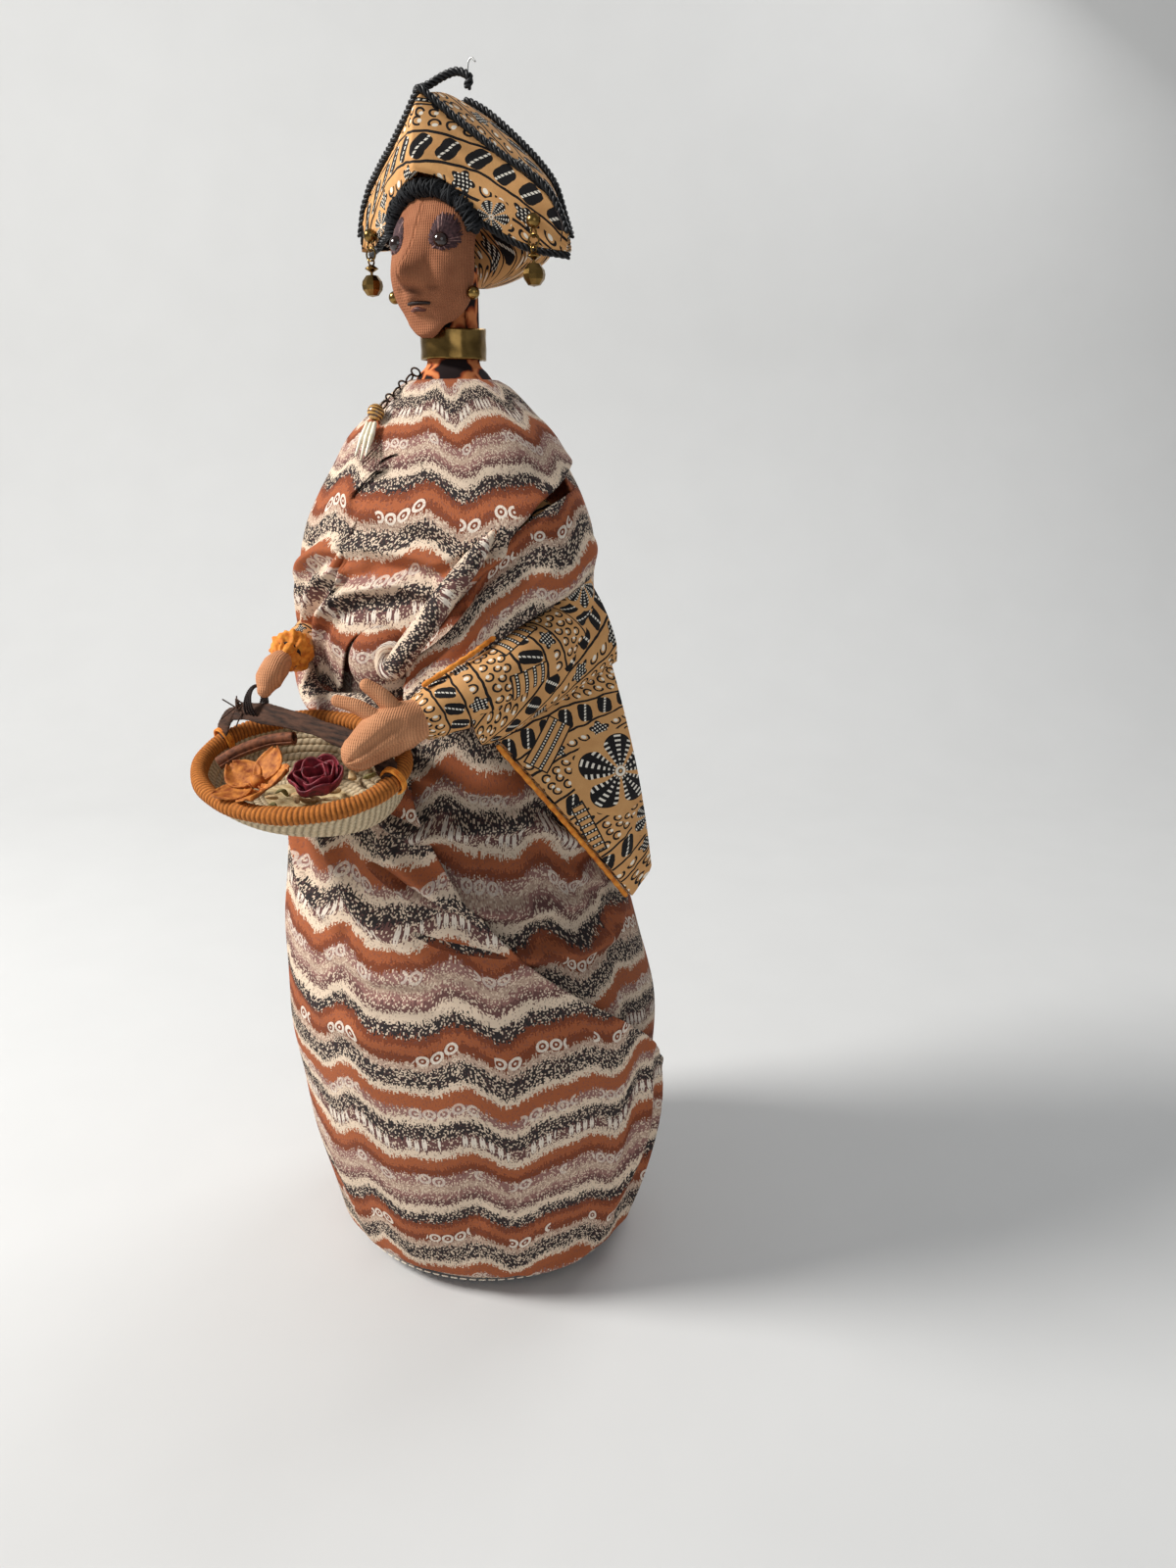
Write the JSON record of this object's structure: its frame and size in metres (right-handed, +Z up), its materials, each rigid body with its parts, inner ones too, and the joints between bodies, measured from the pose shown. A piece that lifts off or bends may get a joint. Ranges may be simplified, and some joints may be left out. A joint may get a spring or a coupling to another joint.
{
  "type": "cloth art doll on a weighted base",
  "caption": "Standing cloth doll of a woman in a wavy-print wrap dress and shawl, three-cornered batik turban and brass neck band, holding a shallow coiled basket of dried flowers.",
  "frame": {"origin": "centre of the underside of the round base, on the surface the doll stands on", "axes": "+Z up, the doll's front faces -Y, its own left hand is on the +X side"},
  "size_m": [0.1629, 0.1917, 0.4677],
  "materials": {
    "felt": "matt felt",
    "dark_wood": "dark stained, matt",
    "steel": "bright drawn wire",
    "raw_steel": "dull",
    "plain_wood": "raw turned wood",
    "wadding": "soft white wadding",
    "vein_cloth": "matt printed cotton, black cells with rust veins",
    "wave_print": "matt printed cotton, wavy rust, cream, mauve and charcoal bands",
    "wave_print_dark": "reverse of the wavy printed cotton",
    "batik": "matt wax-print cotton, ochre with black and white motifs",
    "orange_cloth": "crushed orange cloth",
    "skin_knit": "fine ribbed brown knit",
    "dark_cord": "shiny black braid",
    "sisal": "pale plant fibre coils",
    "orange_yarn": "wrapped orange-brown yarn",
    "bark": "rough dark bark",
    "orange_petal": "dried seed-pod husk",
    "crimson_petal": "dried petals",
    "bark_curl": "cinnamon bark",
    "dark_wire": "dark annealed wire",
    "bead_wood": "striped polished bead",
    "bone": "polished bone",
    "aged_brass": "aged brass, worn bright on its edges",
    "eye_glass": "dark brown glass",
    "lid_thread": "purple-brown embroidery",
    "hair_yarn": "black curly yarn"
  },
  "bodies": {
    "figure": {"base_felt": "felt", "base_disc": "dark_wood", "post_screw": "steel", "center_post": "plain_wood", "ballast_weight": "raw_steel", "skirt_form": "wadding", "torso_form": "wadding", "bodice": "vein_cloth", "dress_skirt": "wave_print", "hem_band": "wave_print_dark", "dress_overwrap": "wave_print", "shawl_body": "wave_print", "shawl_fold": "wave_print", "shawl_knot": "wave_print", "shawl_tail": "wave_print_dark", "arm_wires": "steel", "left_upper_sleeve": "batik", "left_forearm_sleeve": "batik", "left_sleeve_piping": "orange_cloth", "left_hand": "skin_knit", "right_upper_sleeve": "batik", "right_forearm_sleeve": "batik", "right_cuff": "orange_cloth", "right_hand": "skin_knit", "finger_binding": "dark_cord", "basket_base": "sisal", "basket_wall": "sisal", "basket_rim": "orange_yarn", "basket_handle": "bark", "handle_ties": "orange_yarn", "pod_flower": "orange_petal", "red_flower": "crimson_petal", "cinnamon_stick": "bark_curl", "necklace_wire": "dark_wire", "necklace_bead": "bead_wood"},
    "sleeve_flap": {"left_bell_flap": "batik", "flap_piping": "orange_cloth"},
    "pendants": {"bone_pendants": "bone"},
    "neck_band": {"choker": "aged_brass"},
    "head": {"head_hub": "plain_wood", "head_form": "skin_knit", "nape_cloth": "vein_cloth", "eye_beads": "eye_glass", "eyelids": "lid_thread", "hair_roll": "hair_yarn", "ear_studs": "aged_brass", "turban_front": "batik", "turban_back": "batik", "turban_gusset": "batik", "turban_bun": "batik", "turban_cords": "dark_cord", "turban_curl": "dark_cord", "dangle_studs": "aged_brass"},
    "left_link": {"left_dangle_link": "aged_brass"},
    "left_drop": {"left_dangle_drop": "aged_brass"},
    "right_link": {"right_dangle_link": "aged_brass"},
    "right_drop": {"right_dangle_drop": "aged_brass"}
  },
  "joints": [
    {"name": "head_turn", "type": "hinge", "parent": "figure", "child": "head", "pos_m": [0, -0.009, 0.378], "axis": [0, 0, 1], "range_deg": [-25, 25]},
    {"name": "neck_band_turn", "type": "hinge", "parent": "figure", "child": "neck_band", "pos_m": [0, -0.009, 0.371], "axis": [0, 0, 1], "continuous": true},
    {"name": "left_link_swing", "type": "hinge", "parent": "head", "child": "left_link", "pos_m": [0.0379, -0.00849, 0.4108], "axis": [1, 0, 0], "range_deg": [-30, 3]},
    {"name": "left_drop_swing", "type": "hinge", "parent": "left_link", "child": "left_drop", "pos_m": [0.0379, -0.00849, 0.40748], "axis": [0, 1, 0], "range_deg": [-25, 25]},
    {"name": "right_link_swing", "type": "hinge", "parent": "head", "child": "right_link", "pos_m": [-0.03279, -0.01629, 0.4108], "axis": [1, 0, 0], "range_deg": [-30, 3]},
    {"name": "right_drop_swing", "type": "hinge", "parent": "right_link", "child": "right_drop", "pos_m": [-0.03279, -0.01629, 0.40748], "axis": [0, 1, 0], "range_deg": [-25, 25]},
    {"name": "pendant_swing", "type": "hinge", "parent": "figure", "child": "pendants", "pos_m": [-0.0108, -0.0424, 0.3494], "axis": [1, 0, 0], "range_deg": [-25, 0]},
    {"name": "flap_swing", "type": "hinge", "parent": "figure", "child": "sleeve_flap", "pos_m": [0.0515, -0.052, 0.243], "axis": [-0.2258, -0.9033, -0.3648], "range_deg": [0, 18]}
  ]
}
